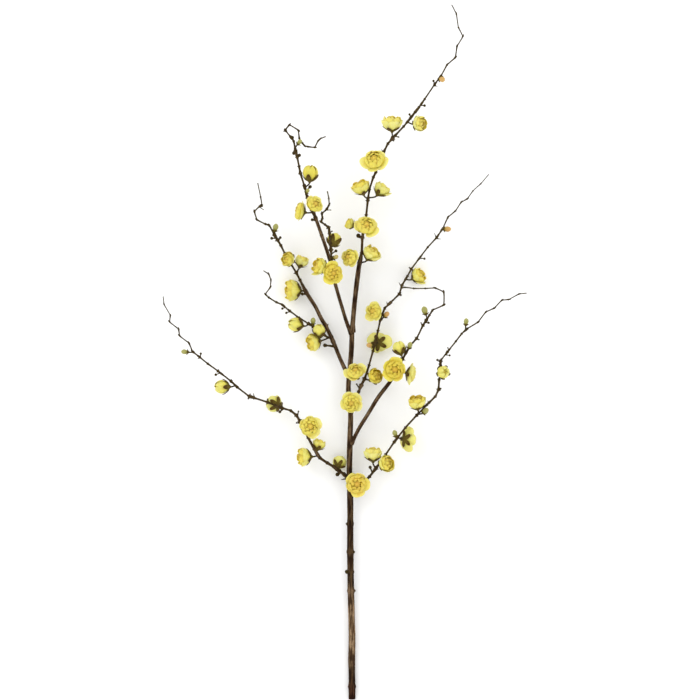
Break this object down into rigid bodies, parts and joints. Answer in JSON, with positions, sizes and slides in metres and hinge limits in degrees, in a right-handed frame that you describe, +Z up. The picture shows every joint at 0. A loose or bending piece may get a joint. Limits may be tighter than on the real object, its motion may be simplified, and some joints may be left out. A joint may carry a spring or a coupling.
{
  "type": "plum blossom branch",
  "caption": "Cut branch of yellow plum blossom lying down: a straight bare stem that forks into curving twigs with cupped blossoms, round buds and spurs.",
  "frame": {"origin": "on the surface that the branch lies on, under the middle of its bounding box", "axes": "+Y along the branch from the cut end to the topmost tip, +X across it, +Z up from the surface, towards the side that the picture shows"},
  "size_m": [0.509, 0.9742, 0.0974],
  "materials": {
    "wood": "rough dark brown bark with grey streaks, green-brown twigs and calyces",
    "bud_green": "smooth closed petals, slightly waxy",
    "bud_orange": "smooth closed petals, slightly waxy",
    "bud_tan": "smooth closed petals, slightly waxy",
    "petal_deep": "soft satin petal, finely veined",
    "petal_green": "soft satin petal, finely veined",
    "petal_orange": "soft satin petal, finely veined",
    "petal_pale": "soft satin petal, finely veined",
    "petal_yellow": "soft satin petal, finely veined"
  },
  "bodies": {
    "root": {"wood": "wood", "bud_top_1": "bud_orange", "bloom_top_1": "petal_pale", "bloom_top_2": "petal_pale", "bloom_top_3": "petal_yellow", "bloom_top_4": "petal_yellow", "bloom_top_5": "petal_green", "bloom_top_6": "petal_yellow", "bloom_top_7": "petal_yellow", "bloom_top_8": "petal_yellow", "bloom_top_9": "petal_pale", "bud_upper_left_1": "bud_green", "bloom_upper_left_1": "petal_yellow", "bud_upper_left_2": "bud_green", "bloom_upper_left_2": "petal_yellow", "bloom_upper_left_3": "petal_yellow", "bloom_upper_left_4": "petal_yellow", "bud_upper_left_3": "bud_tan", "bloom_upper_left_5": "petal_yellow", "bloom_upper_left_6": "petal_deep", "bud_left_1": "bud_green", "bloom_left_1": "petal_yellow", "bloom_left_2": "petal_pale", "bloom_left_3": "petal_yellow", "bloom_left_twig_1": "petal_yellow", "bud_left_twig_1": "bud_green", "bloom_left_twig_2": "petal_yellow", "bloom_left_4": "petal_yellow", "bud_low_left_1": "bud_green", "bloom_low_left_1": "petal_yellow", "bloom_low_left_2": "petal_green", "bloom_low_left_3": "petal_yellow", "bloom_low_left_4": "petal_yellow", "bloom_low_left_5": "petal_yellow", "bloom_low_left_6": "petal_green", "bloom_low_right_1": "petal_orange", "bloom_low_right_2": "petal_pale", "bloom_low_right_3": "petal_yellow", "bud_low_right_1": "bud_green", "bloom_low_right_4": "petal_green", "bloom_low_right_5": "petal_yellow", "bud_low_right_2": "bud_green", "bloom_low_right_6": "petal_yellow", "bud_low_right_3": "bud_green", "bloom_right_1": "petal_deep", "bloom_right_2": "petal_pale", "bloom_right_3": "petal_yellow", "bud_right_1": "bud_green", "bud_right_2": "bud_green", "bloom_right_centre_1": "petal_yellow", "bloom_right_centre_2": "petal_yellow", "bloom_right_centre_3": "petal_deep", "bloom_right_centre_4": "petal_green", "bud_right_centre_1": "bud_orange", "bloom_right_centre_5": "petal_yellow", "bud_right_centre_2": "bud_orange", "bloom_right_centre_6": "petal_yellow", "bud_right_centre_3": "bud_orange"}
  },
  "joints": []
}
